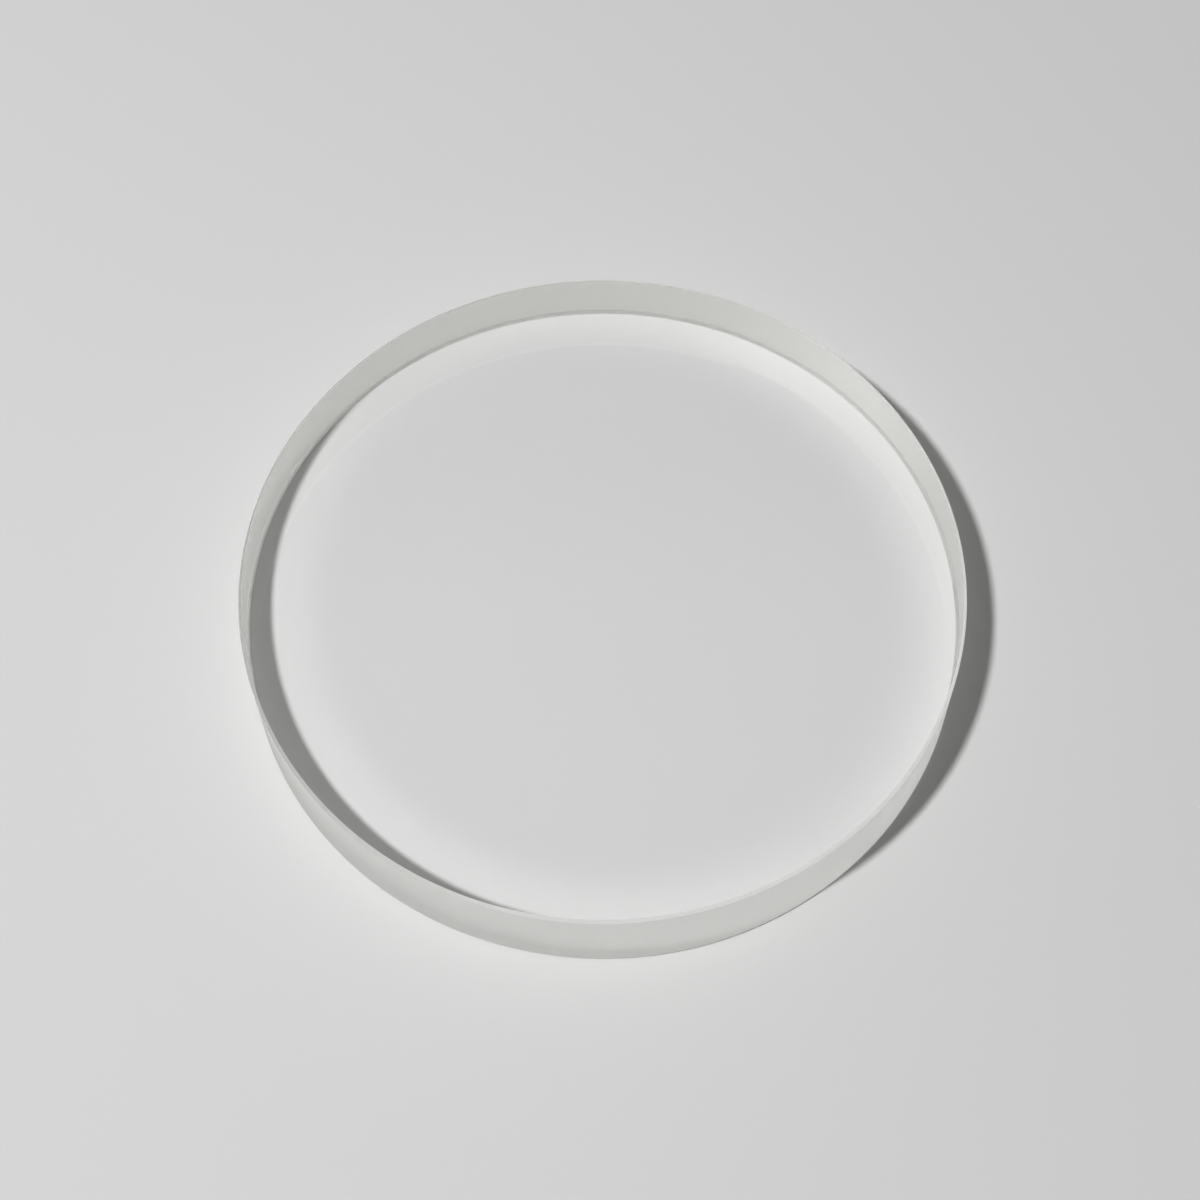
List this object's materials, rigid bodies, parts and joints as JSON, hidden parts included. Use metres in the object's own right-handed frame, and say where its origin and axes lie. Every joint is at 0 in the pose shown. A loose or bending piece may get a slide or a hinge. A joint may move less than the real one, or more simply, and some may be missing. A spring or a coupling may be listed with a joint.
{
  "type": "optical window",
  "caption": "Round flat window of clear polished glass with a fine-ground edge and narrow protective chamfers, to pass light through a wall or protect optics.",
  "frame": {"origin": "centre of the lower polished face", "axes": "+Z is the optical axis, from the lower face to the upper one; the disc is round, so X and Y lie in its plane in any turn"},
  "size_m": [0.07, 0.07, 0.01],
  "materials": {
    "optical_glass": "clear and colourless, polished flat faces, fine-ground matt edge and chamfers"
  },
  "bodies": {
    "root": {"window_disc": "optical_glass"}
  },
  "joints": []
}
